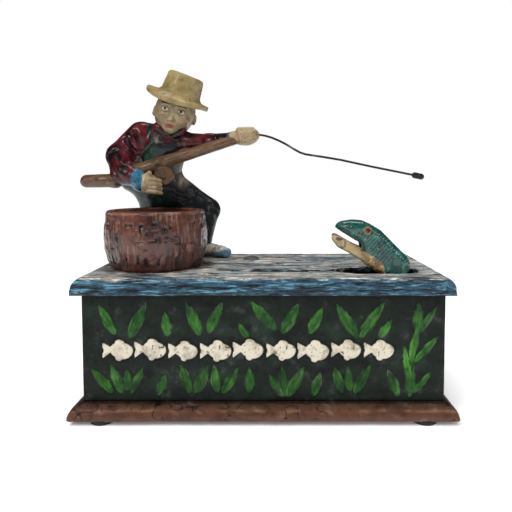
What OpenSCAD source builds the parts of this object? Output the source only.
// Mechanical coin bank: a fisherman rocks back and a fish dives when the end lever is pressed.
// Units are millimetres. The origin is the middle of the whole outline, on the floor.

/* [Base] */
// length of the base at its foot
base_l = 240; // [200:1:280]
// depth of the base at its foot
base_d = 108; // [90:1:130]
// gap under the base rim, the visible height of the rubber feet
foot_h = 2; // [1:0.5:6]
// height of the top of the base
base_top = 10.9; // [8:0.1:16]
// diameter of the coin hole in the base
trap_hole_d = 36; // [30:1:42]

/* [Box] */
// length of the box
box_l = 226; // [190:1:260]
// depth of the box
box_d = 89; // [70:1:110]
// height of the top of the box walls
box_top = 79.5; // [60:0.5:100]
// thickness of the cast walls
wall = 3.5; // [2.5:0.5:5]

/* [Deck] */
// length of the deck at its lip
deck_l = 235; // [200:1:270]
// depth of the deck at its lip
deck_d = 104.3; // [85:0.1:130]
// height of the top of the deck
deck_top = 90.2; // [80:0.1:110]
// thickness of the deck skin
deck_skin = 4.2; // [3:0.1:6]
// width of the coin slot in the deck
coin_slot_w = 5; // [4:0.1:7]

/* [Basket] */
// radius of the basket at its foot
basket_r0 = 30; // [28:0.5:32]
// largest radius of the basket
basket_r1 = 35.2; // [34.9:0.1:36]
// radius of the basket at its rim
basket_r2 = 32.5; // [30.5:0.1:32.9]
// height of the basket rim
basket_top = 129; // [115:1:140]

/* [Mechanism] */
// travel of the end lever
press_deg = 20; // [10:1:24]
// radius from the lever pin to its drive pin
lever_r = 14; // [10:0.5:18]
// radius from the fish pin to its drive pin
fish_r = 15.54; // [12:0.1:18]
// radius from the lean pin to its drive pin
lean_r = 28.7; // [24:0.1:32]
// radius of the drive pins
pin_r = 2; // [1.5:0.1:3]
// running clearance on radius
play = 0.05; // [0.02:0.01:0.1]

/* [Figure] */
// radius of the head
head_r = 14.2; // [12:0.1:16]
// radius of the hat brim
brim_r = 24; // [20:0.5:28]
// height of the hat crown
crown_h = 17.4; // [12:0.1:22]

/* [Hidden] */
$fa = 4;
$fs = 0.6;
shift_x = 8;
travel = 2 * lever_r * sin(press_deg / 2);
fish_deg = 2 * asin(travel / 2 / fish_r);
lean_deg = 2 * asin(travel / 2 / lean_r);
lever_p = [94, 52];
fish_p = [86, 75];
lean_p = [-88, 75];
lever_d = [lever_p[0] - travel / 2, lever_p[1] + lever_r * cos(press_deg / 2)];
fish_d = [fish_p[0] - travel / 2, fish_p[1] - fish_r * cos(fish_deg / 2)];
lean_d = [lean_p[0] - travel / 2, lean_p[1] - lean_r * cos(lean_deg / 2)];
fish_y = -24;
lever_y = -20;
bolt_p = [-10.5, 21.6];
trap_p = [21, -10];
rivet_p = [48, -10];
basket_p = [-76, -4];
jaw_p = [73, 95];
fish_guide_z = 65;
pole_y = 13;
iron_red = [0.36, 0.21, 0.17];
iron_dark = [0.15, 0.19, 0.19];
leaf_green = [0.23, 0.50, 0.18];
cream = [0.86, 0.80, 0.66];
deck_grey = [0.42, 0.45, 0.46];
basket_brown = [0.43, 0.23, 0.18];
shirt_red = [0.43, 0.10, 0.13];
pole_brown = [0.54, 0.41, 0.27];
fish_green = [0.18, 0.42, 0.38];
jaw_tan = [0.71, 0.60, 0.43];
steel = [0.55, 0.55, 0.56];
black = [0.05, 0.05, 0.05];

// node to draw, or all of them

// moves the drawing so that the origin is under the middle of the whole outline
module framed() {
    translate([shift_x, 0, 0]) children();
}

// a slab with the same edge profile on all four sides; profile is [inset, z] from low to high
module edged_slab(l, d, profile) {
    n = len(profile);
    side_x = [for (i = [0:n - 1]) [l / 2 - profile[i][0], profile[i][1]]];
    back_x = [for (i = [n - 1:-1:0]) [-l / 2 + profile[i][0], profile[i][1]]];
    side_y = [for (i = [0:n - 1]) [d / 2 - profile[i][0], profile[i][1]]];
    back_y = [for (i = [n - 1:-1:0]) [-d / 2 + profile[i][0], profile[i][1]]];
    intersection() {
        rotate([90, 0, 0]) translate([0, 0, -d / 2 - 1]) linear_extrude(d + 2) polygon(concat(side_x, back_x));
        rotate([90, 0, 90]) translate([0, 0, -l / 2 - 1]) linear_extrude(l + 2) polygon(concat(side_y, back_y));
    }
}

// a box given by its low and high corners
module block(lo, hi) {
    translate(lo) cube([hi[0] - lo[0], hi[1] - lo[1], hi[2] - lo[2]]);
}

// a cylinder along Y, from y0 to y1, at p = [x, z]
module pin_y(p, y0, y1, r) {
    translate([p[0], y0, p[1]]) rotate([-90, 0, 0]) cylinder(h = y1 - y0, r = r);
}

// a flat shape drawn in X and Z, given thickness from y0 to y1
module plate_y(y0, y1) {
    translate([0, y1, 0]) rotate([90, 0, 0]) linear_extrude(y1 - y0) children();
}

// a tapered limb with a ball at each end
module limb(p, q, rp, rq) {
    v = q - p;
    len_v = norm(v);
    translate(p) rotate([0, acos(v[2] / len_v), atan2(v[1], v[0])]) cylinder(h = len_v, r1 = rp, r2 = rq);
    translate(p) sphere(r = rp * 1.015);
    translate(q) sphere(r = rq * 1.015);
}

// a tapered rod with square ends
module rod(p, q, rp, rq) {
    v = q - p;
    translate(p) rotate([0, acos(v[2] / norm(v)), atan2(v[1], v[0])]) cylinder(h = norm(v), r1 = rp, r2 = rq);
}

// a slot along Z for a drive pin, through y0 to y1
module pin_slot(p, y0, y1, dz) {
    w = pin_r + play;
    pin_y([p[0], p[1] - dz], y0, y1, w);
    pin_y([p[0], p[1] + dz], y0, y1, w);
    block([p[0] - w, y0, p[1] - dz], [p[0] + w, y1, p[1] + dz]);
}

// a slot along X for a guide screw that the bar slides past
module guide_slot(x, z, y0, y1) {
    w = pin_r + play;
    pin_y([x - travel - 0.2, z], y0, y1, w);
    pin_y([x + 0.2, z], y0, y1, w);
    block([x - travel - 0.2, y0, z - w], [x + 0.2, y1, z + w]);
}

module base_plate() {
    color(iron_red) framed() {
        difference() {
            union() {
                difference() {
                    edged_slab(base_l, base_d, [[0, foot_h], [0, 4.6], [0.9, 7], [2.4, 9.2], [4, base_top]]);
                    block([-114, -46.5, foot_h - 1], [114, 46.5, 7.5]);
                    for (x = [-100, 100]) {
                        for (y = [-45, 45]) {
                            translate([x, y, foot_h - 1]) cylinder(h = 5.6 - foot_h, r = 8.1);
                        }
                    }
                }
                block([89.4, -26, base_top - 1], [98.6, -22.4, lever_p[1]]);
                pin_y(lever_p, -26, -22.4, 4.6);
                block([89.4, -17.6, base_top - 1], [98.6, -14, lever_p[1]]);
                pin_y(lever_p, -17.6, -14, 4.6);
                translate([104.6, lever_y, base_top - 1]) cylinder(h = 25, r = 2.4);
            }
            translate([trap_p[0], trap_p[1], 6]) cylinder(h = 8, d = trap_hole_d);
            translate([rivet_p[0], rivet_p[1], 6]) cylinder(h = 8, r = 2.5);
            translate([bolt_p[0], bolt_p[1], 6]) cylinder(h = 8, r = 3.1);
            pin_y(lever_p, -27, -13, pin_r);
        }
    }
}

module rubber_feet() {
    color(black) framed() {
        for (x = [-100, 100]) {
            for (y = [-45, 45]) {
                translate([x, y, 0]) cylinder(h = 4.6, r = 8);
                intersection() {
                    translate([x, y, 0]) cylinder(h = 7.5, r = 8);
                    block([-114, -46.4, 0], [114, 46.4, 7.5]);
                }
            }
        }
    }
}

// one leaf of the relief, from its foot to its tip, standing out of the front panel
module leaf(x0, z0, x1, z1, w) {
    v = [x1 - x0, z1 - z0];
    n = [-v[1], v[0]] / norm(v) * w / 2;
    m = [x0, z0] + v * 0.42;
    plate_y(-box_d / 2 - 0.7, -box_d / 2) polygon([[x0, z0], m - n, [x1, z1], m + n]);
}

module front_panel() {
    color(iron_dark) framed() block([-box_l / 2, -box_d / 2, base_top], [box_l / 2, -box_d / 2 + wall, box_top]);
    color(leaf_green) framed() {
        for (i = [0:13]) {
            x = -100 + i * 15.2;
            leaf(x, 54, x + 7 * cos(i * 137), 73, 4.5);
            leaf(x + 5, 15, x + 5 + 8 * cos(i * 101), 33, 4.5);
        }
    }
    color(cream) framed() {
        for (i = [0:10]) {
            leaf(-98 + i * 17, 44, -86.5 + i * 17, 44, 7);
        }
    }
}

module back_panel() {
    color(iron_dark) framed() block([-box_l / 2, box_d / 2 - wall, base_top], [box_l / 2, box_d / 2, box_top]);
}

module left_end_panel() {
    color(iron_dark) framed() {
        block([-box_l / 2, -box_d / 2 + wall, base_top], [-box_l / 2 + wall, box_d / 2 - wall, box_top]);
    }
}

module right_end_panel() {
    color(iron_dark) framed() {
        difference() {
            block([box_l / 2 - wall, -box_d / 2 + wall, base_top], [box_l / 2, box_d / 2 - wall, box_top]);
            block([box_l / 2 - wall - 1, -23, 45], [box_l / 2 + 1, -17, 76.5]);
        }
    }
}

module deck_plate() {
    e = [[0, box_top], [0, 83], [0.7, 86], [2.4, 88.6], [4.7, deck_top]];
    color(deck_grey) framed() {
        difference() {
            union() {
                difference() {
                    edged_slab(deck_l, deck_d, e);
                    block([-108, -40, box_top - 1], [108, 40, deck_top - deck_skin]);
                }
                // lugs for the fish pin
                block([80, -37, 70.5], [92, -33.6, deck_top - 2]);
                block([80, -14.3, 70.5], [92, -11, deck_top - 2]);
                // lugs for the lean pin
                block([-94.5, 29.3, 69], [-81.5, 33, deck_top - 2]);
                block([-94.5, 38, 69], [-81.5, 40.7, deck_top - 2]);
                // lugs for the guide screws
                block([45, -10, 60], [55, -5.5, deck_top - 2]);
                block([-35, -10, 41], [-25, -5.5, deck_top - 2]);
            }
            // coin slot in the deck
            block([-21, -25.5 - coin_slot_w / 2, 70], [28, -25.5 + coin_slot_w / 2, 95]);
            // opening for the fish
            translate([0, 0, 82]) linear_extrude(12) polygon([[32, -26], [46, -27.3], [54, -31.5], [60, -35],
                [92, -35], [98, -32], [101, -27], [101, -21], [98, -16], [92, -13], [60, -13], [54, -16.5],
                [46, -20.7], [32, -22]]);
            // coin hole below the basket
            block([-93, -14, 80], [-59, 6, 95]);
            // slot for the leg
            block([-97, 33, 80], [-83, 38, 95]);
            translate([bolt_p[0], bolt_p[1], 80]) cylinder(h = 15, r = 3.1);
            for (x = [-23.5, 23.5]) {
                translate([basket_p[0] + x, basket_p[1], 80]) cylinder(h = 15, r = 2);
            }
            pin_y(fish_p, -38, -10, pin_r);
            pin_y(lean_p, 29, 41, 2.5);
            pin_y([50, fish_guide_z], -11, -5, pin_r);
            pin_y([-30, 46], -11, -5, pin_r);
        }
    }
}

module deck_bolt() {
    color(deck_grey) framed() translate([bolt_p[0], bolt_p[1], 0]) {
        translate([0, 0, 4.6]) cylinder(h = deck_top - 4.6, r = 3);
        translate([0, 0, deck_top]) difference() {
            translate([0, 0, -5.6]) sphere(r = 8);
            block([-9, -9, -20], [9, 9, 0]);
            block([-7, -0.7, 1.5], [7, 0.7, 4]);
        }
    }
}

module deck_bolt_nut() {
    color(steel) framed() translate([bolt_p[0], bolt_p[1], 4.7]) difference() {
        cylinder(h = 2.8, r = 6, $fn = 6);
        translate([0, 0, -1]) cylinder(h = 5, r = 3);
    }
}

module basket() {
    color(basket_brown) framed() translate([basket_p[0], basket_p[1], 0]) {
        difference() {
            union() {
                rotate_extrude() polygon([[26.5, deck_top], [basket_r0, deck_top], [32.8, 96], [34.7, 103],
                    [basket_r1, 110.5], [34.9, 117], [34, 123], [33.4, 127], [33, basket_top - 0.6], [basket_r2, basket_top],
                    [30.2, basket_top], [29.6, 128.2], [29.4, 127], [0, 127], [0, 124], [31, 124], [32, 110],
                    [31, 101], [29, 95]]);
                for (x = [-23.5, 23.5]) {
                    translate([x, 0, deck_top]) cylinder(h = 12, r = 4.5);
                }
            }
            block([-15, -2.6, 120], [17, 2.6, 130]);
            for (x = [-23.5, 23.5]) {
                translate([x, 0, 80]) cylinder(h = 18.2, r = 1.9);
            }
        }
    }
}

module basket_screws() {
    color(steel) framed() {
        for (x = [-23.5, 23.5]) {
            translate([basket_p[0] + x, basket_p[1], 0]) {
                translate([0, 0, 86]) cylinder(h = 12, r = 1.9);
                translate([0, 0, 83.4]) cylinder(h = 2.6, r = 3.6);
            }
        }
    }
}

module coin_trap() {
    color(steel) framed() difference() {
        union() {
            translate([trap_p[0], trap_p[1], 5.2]) cylinder(h = 2, r = 21);
            translate([rivet_p[0], rivet_p[1], 5.2]) cylinder(h = 2, r = 6.5);
            block([30, rivet_p[1] - 6.5, 5.2], [rivet_p[0], rivet_p[1] + 6.5, 7.2]);
        }
        translate([rivet_p[0], rivet_p[1], 4]) cylinder(h = 5, r = 2.5 + play);
    }
}

module trap_rivet() {
    color(steel) framed() translate([rivet_p[0], rivet_p[1], 0]) {
        translate([0, 0, 5]) cylinder(h = base_top - 5 + 0.01, r = 2.5);
        translate([0, 0, 3.2]) cylinder(h = 1.8, r1 = 3.6, r2 = 4.6);
        translate([0, 0, base_top]) cylinder(h = 1.6, r1 = 4.4, r2 = 3.4);
    }
}

module lever() {
    color(iron_dark) framed() difference() {
        union() {
            pin_y(lever_p, lever_y - 2, lever_y + 2, 5.5);
            pin_y(lever_d, lever_y - 2, lever_y + 2, 4.1);
            plate_y(lever_y - 2, lever_y + 2) polygon([[lever_p[0] - 5.2, lever_p[1] + 1], [lever_p[0] + 2, 48.4],
                [100, 54], [117.5, 54], [120.4, 56], [121, 59], [121, 69], [120.4, 72], [117.5, 74], [110, 74],
                [103, 71.5], [99, 69], [lever_d[0] + 1, lever_d[1] + 4.2], [lever_d[0] - 4, lever_d[1] + 1]]);
        }
        pin_y(lever_p, -25, -15, pin_r + play);
        pin_y(lever_d, -25, -15, pin_r);
    }
}

module lever_pin() {
    color(steel) framed() pin_y(lever_p, -26.8, -13.2, pin_r);
}

module lever_drive_pin() {
    color(steel) framed() pin_y(lever_d, lever_y - 2, -9.6, pin_r);
}

module return_spring() {
    turns = 10.5;
    steps = 16;
    ring = 8;
    r_wire = 0.6;
    r_coil = 3.4;
    z0 = base_top + r_wire;
    z1 = 54 - r_wire;
    n = turns * steps;
    pts = [for (i = [0:n]) for (j = [0:ring - 1])
        let (a = i * 360 / steps, b = j * 360 / ring, r = r_coil + r_wire * cos(b))
        [r * cos(a), r * sin(a), z0 + (z1 - z0) * i / n + r_wire * sin(b)]];
    sides = [for (i = [0:n - 1]) for (j = [0:ring - 1])
        [i * ring + j, (i + 1) * ring + j, (i + 1) * ring + (j + 1) % ring, i * ring + (j + 1) % ring]];
    caps = [[for (j = [0:ring - 1]) j], [for (j = [ring - 1:-1:0]) n * ring + j]];
    color(steel) framed() translate([104.6, lever_y, 0]) polyhedron(points = pts, faces = concat(sides, caps));
}

module drive_bar() {
    color(steel) framed() difference() {
        union() {
            plate_y(-13.5, -10.5) polygon([[-43, 42], [-18, 42], [30, 55], [98, 55], [98, 69.5], [30, 69.5],
                [-18, 50.5], [-43, 50.5]]);
            block([-43, -13.5, 42], [-40, 32.5, 50.5]);
            block([-95.5, 29.5, 42], [-40, 32.5, 50.5]);
        }
        pin_slot(lever_d, -15, -9, 0.5);
        pin_slot([fish_d[0], fish_d[1] - 0.1], -15, -9, 0.5);
        pin_slot([lean_d[0], lean_d[1]], 29, 33, 0.5);
        guide_slot(50, fish_guide_z, -15, -9);
        guide_slot(-30, 46, -15, -9);
    }
}

module guide_screws() {
    color(steel) framed() {
        for (p = [[50, fish_guide_z], [-30, 46]]) {
            pin_y(p, -13.7, -5.5, pin_r);
            pin_y(p, -15.6, -13.7, 3.6);
        }
    }
}

module fish_pin() {
    color(steel) framed() pin_y(fish_p, -37, -11, pin_r);
}

// outline of the fish seen from the side
module fish_side() {
    polygon([[46, 119.4], [47.6, 121.4], [50.4, 122.7], [57.3, 123.5], [64.2, 123.1], [68.8, 121.2], [75.7, 117.1],
        [82.6, 110.2], [89.5, 103.3], [93.2, 99.7], [95.3, 95.5], [94.3, 88], [93, 82], [92.5, 75],
        [79.5, 75], [78.2, 82], [75.3, 87.9], [70, 91.6], [66.2, 95.6], [63.6, 103], [62.4, 108.4],
        [57.3, 111.6], [46.4, 118.3]]);
}

// outline of the fish seen from above
module fish_above() {
    translate([0, 0, 60]) linear_extrude(70) polygon([[45, fish_y - 3.2], [48, fish_y - 5], [56, fish_y - 7.2],
        [66, fish_y - 9], [96, fish_y - 9], [96, fish_y + 9], [66, fish_y + 9], [56, fish_y + 7.2],
        [48, fish_y + 5], [45, fish_y + 3.2]]);
}

// the room inside the fish for its jaw
module jaw_room() {
    plate_y(fish_y - 3.8, fish_y + 3.8) polygon([[50, 90], [50, 107], [62.4, 110.5], [70, 107], [80, 101], [80, 84],
        [70, 84]]);
}

module fish_half(y0, y1) {
    difference() {
        union() {
            intersection() {
                plate_y(fish_y - 9, fish_y + 9) fish_side();
                fish_above();
                block([40, y0, 60], [100, y1, 130]);
            }
            intersection() {
                pin_y(fish_p, fish_y - 9, fish_y + 9, 6);
                block([70, y0, 60], [100, y1, 130]);
            }
        }
        jaw_room();
        pin_y(fish_p, -40, -10, pin_r + play);
        pin_y(jaw_p, -40, -10, 1.5);
        pin_y([85, 97], -40, -10, 1.5);
    }
}

module fish_front_half() {
    color(fish_green) framed() fish_half(fish_y - 9.5, fish_y);
}

module fish_back_half() {
    color(fish_green) framed() {
        difference() {
            union() {
                fish_half(fish_y, fish_y + 9.5);
                difference() {
                    union() {
                        pin_y(fish_d, -17.4, -15, 4);
                        plate_y(-17.4, -15) polygon([[fish_p[0] - 5.5, fish_p[1]], [fish_p[0] + 5.5, fish_p[1]],
                            [fish_d[0] + 3.9, fish_d[1]], [fish_d[0] - 3.9, fish_d[1]]]);
                    }
                    pin_y(fish_p, -40, -10, pin_r + play);
                }
            }
            pin_y(fish_d, -18, -14, pin_r);
        }
    }
}

module fish_rivet() {
    color(fish_green) framed() {
        pin_y([85, 97], -33, -15, 1.5);
        pin_y([85, 97], -33.7, -33, 2.6);
        pin_y([85, 97], -15, -14.3, 2.6);
    }
}

module fish_drive_pin() {
    color(steel) framed() pin_y(fish_d, -17.4, -9.6, pin_r);
}

module jaw_pin() {
    color(steel) framed() pin_y(jaw_p, -33, -15, 1.5);
}

module fish_jaw() {
    color(jaw_tan) framed() difference() {
        union() {
            plate_y(fish_y - 3.5, fish_y + 3.5) polygon([[44.2, 110.7], [44.4, 114], [46.4, 114.5], [49.5, 113.2],
                [57.3, 108.6], [62.4, 106.4], [72, 99.4], [75.8, 98], [76.6, 93], [73, 91.2], [69, 91.4],
                [64.1, 96.4], [55, 102], [48.1, 105.6]]);
            pin_y(jaw_p, fish_y - 3.5, fish_y + 3.5, 4.2);
        }
        pin_y(jaw_p, -40, -10, 1.5 + play);
    }
}

module lean_pin() {
    color(steel) framed() pin_y(lean_p, 29.3, 40.7, 2.5);
}

// the pole, its wire and their room in the hands
module pole_shape() {
    limb([-131, pole_y, 148.9], [-110, pole_y, 149.6], 5, 5.2);
    limb([-110, pole_y, 149.6], [-90.3, pole_y, 159.5], 5.2, 4.9);
    rod([-90.3, pole_y, 159.5], [-14.3, pole_y, 181.7], 4.9, 3.6);
}

module wire_shape() {
    ring = 10;
    p = [[-14.2, 181.8], [-4.8, 182.8], [0, 182], [4.8, 180.6], [10, 178.4], [15.1, 175.8], [21, 172.2], [25.4, 169.8],
        [29.5, 168.5], [34.3, 167.8], [41.6, 166.7], [54.9, 164.5], [77.1, 159.7], [109, 153.3]];
    n = len(p);
    t = [for (i = [0:n - 1]) let (v = p[min(i + 1, n - 1)] - p[max(i - 1, 0)]) v / norm(v)];
    pts = [for (i = [0:n - 1]) for (j = [0:ring - 1]) let (a = j * 360 / ring)
        [p[i][0] - t[i][1] * 0.8 * cos(a), pole_y + 0.8 * sin(a), p[i][1] + t[i][0] * 0.8 * cos(a)]];
    sides = [for (i = [0:n - 2]) for (j = [0:ring - 1])
        [i * ring + j, i * ring + (j + 1) % ring, (i + 1) * ring + (j + 1) % ring, (i + 1) * ring + j]];
    caps = [[for (j = [ring - 1:-1:0]) j], [for (j = [0:ring - 1]) (n - 1) * ring + j]];
    polyhedron(points = pts, faces = concat(sides, caps));
}

module hat_shape() {
    translate([-66.5, 27, 212.2]) rotate([0, 20.5, 0]) {
        translate([0, 0, -1.6]) cylinder(h = 3.2, r1 = brim_r, r2 = brim_r - 1);
        translate([1, 0, 0]) cylinder(h = crown_h, r1 = 15.4, r2 = 13.4);
    }
}

// the seat, which the legs fit round
module seat_shape() {
    limb([-102, 35, 151], [-84, 36.5, 142], 12, 15.2);
}

// the two lugs inside the thighs that the rivets go through
module hip_lugs() {
    pin_y([-57, 141], 33.2, 37, 4.6);
    block([-74, 33.2, 136.4], [-57, 37, 145.6]);
    pin_y([-88.4, 118], 35.8, 39.4, 3.6);
    block([-92, 35.8, 118], [-84.8, 39.4, 132]);
}

module figure_shape() {
    // seat, trunk, neck and head
    seat_shape();
    limb([-84, 36.5, 142], [-78, 33, 178], 14.8, 15.5);
    limb([-92, 31, 183], [-66, 30, 184], 10.5, 10);
    limb([-76, 31, 186], [-68, 27, 203], 8, 9);
    translate([-68.6, 26.5, 201.8]) sphere(r = head_r);
    hat_shape();
    // arm on the basket side
    limb([-96, 29, 185.5], [-114.5, 20, 167.5], 9.4, 8.8);
    limb([-114.5, 20, 167.5], [-100, 9.5, 151.4], 8.8, 6.4);
    limb([-100, 9.5, 151.4], [-87.6, 8, 147.8], 5.8, 6.6);
    limb([-104, 26, 175], [-97, 26, 157], 7.5, 7.5);
    // arm on the fish side
    limb([-62, 29, 184], [-24, 15.5, 181.8], 8.4, 5.2);
    limb([-19.5, 13.5, 182], [-12, 13, 182.5], 6.6, 6.6);
}

module figure_body() {
    color(shirt_red) framed() difference() {
        union() {
            figure_shape();
            hip_lugs();
        }
        pole_shape();
        rod([-14.3, pole_y, 181.8], [-4.8, pole_y, 182.8], 0.9, 0.9);
        pin_y([-74, 153.5], pole_y - 3, pole_y + 4, 7.6);
        pin_y([-57, 141], 15, 50, 1.5);
        pin_y([-88.4, 118], 15, 50, 1.5);
    }
}

// what is cut out of both legs
module leg_room() {
    seat_shape();
    limb([-84, 36.5, 142], [-78, 33, 178], 14.8, 15.5);
    hip_lugs();
    pin_y([-57, 141], 15, 50, 1.5);
    pin_y([-88.4, 118], 15, 50, 1.5);
}

module front_leg() {
    color(iron_dark) framed() difference() {
        union() {
            limb([-76, 35, 147], [-45.5, 33, 126.5], 13, 8.8);
            limb([-45.5, 33, 126.5], [-50.5, 33.5, 99.5], 8.8, 6.6);
            hull() {
                translate([-51.5, 32.5, 90.8]) cylinder(h = 9.5, r = 5.4, $fn = 32);
                translate([-32, 28.6, 90.8]) cylinder(h = 5.6, r = 5.6, $fn = 32);
            }
        }
        leg_room();
        // flat seat for the rivet's head
        pin_y([-57, 141], 18, 25.4, 3);
    }
}

module rear_leg() {
    color(iron_dark) framed() difference() {
        union() {
            limb([-90, 37.5, 140], [-88, 37.5, 100], 8, 5.4);
            hull() {
                translate([-86.5, 37.2, 92]) cylinder(h = 6, r = 4, $fn = 32);
                translate([-75, 37.2, 92]) cylinder(h = 4.4, r = 4, $fn = 32);
            }
            // tang through the deck and down to the drive bar
            block([-92, 33.5, 75], [-84, 37.5, 104]);
            pin_y(lean_p, 33.5, 37.5, 5.8);
            plate_y(33.5, 37.5) polygon([[-93, 75], [-83, 75], [lean_d[0] + 4, lean_d[1]],
                [lean_d[0] - 4, lean_d[1]]]);
            pin_y(lean_d, 33.5, 37.5, 4.4);
        }
        leg_room();
        pin_y(lean_p, 30, 40, 2.5 + play);
        pin_y(lean_d, 30, 40, pin_r);
    }
}

module figure_rivets() {
    color(iron_dark) framed() {
        pin_y([-57, 141], 25.4, 42.4, 1.5);
        pin_y([-57, 141], 23.4, 25.4, 2.8);
        pin_y([-88.4, 118], 31, 44, 1.5);
    }
}

module lean_drive_pin() {
    color(steel) framed() pin_y(lean_d, 28.6, 37.5, pin_r);
}

module fishing_pole() {
    color(pole_brown) framed() pole_shape();
}

module reel() {
    color(pole_brown) framed() difference() {
        pin_y([-74, 153.5], pole_y - 3, pole_y + 4, 7.5);
        pole_shape();
    }
}

module line_wire() {
    color(black) framed() wire_shape();
}

module bait() {
    color(black) framed() difference() {
        limb([109.6, pole_y, 153.2], [114.2, pole_y, 152.2], 2.2, 2.2);
        wire_shape();
    }
}

base_plate();
rubber_feet();
front_panel();
back_panel();
left_end_panel();
right_end_panel();
deck_plate();
deck_bolt();
deck_bolt_nut();
basket();
basket_screws();
coin_trap();
trap_rivet();
lever();
lever_pin();
lever_drive_pin();
return_spring();
drive_bar();
guide_screws();
fish_pin();
fish_front_half();
fish_back_half();
fish_rivet();
fish_drive_pin();
jaw_pin();
fish_jaw();
lean_pin();
figure_body();
front_leg();
rear_leg();
figure_rivets();
lean_drive_pin();
fishing_pole();
reel();
line_wire();
bait();
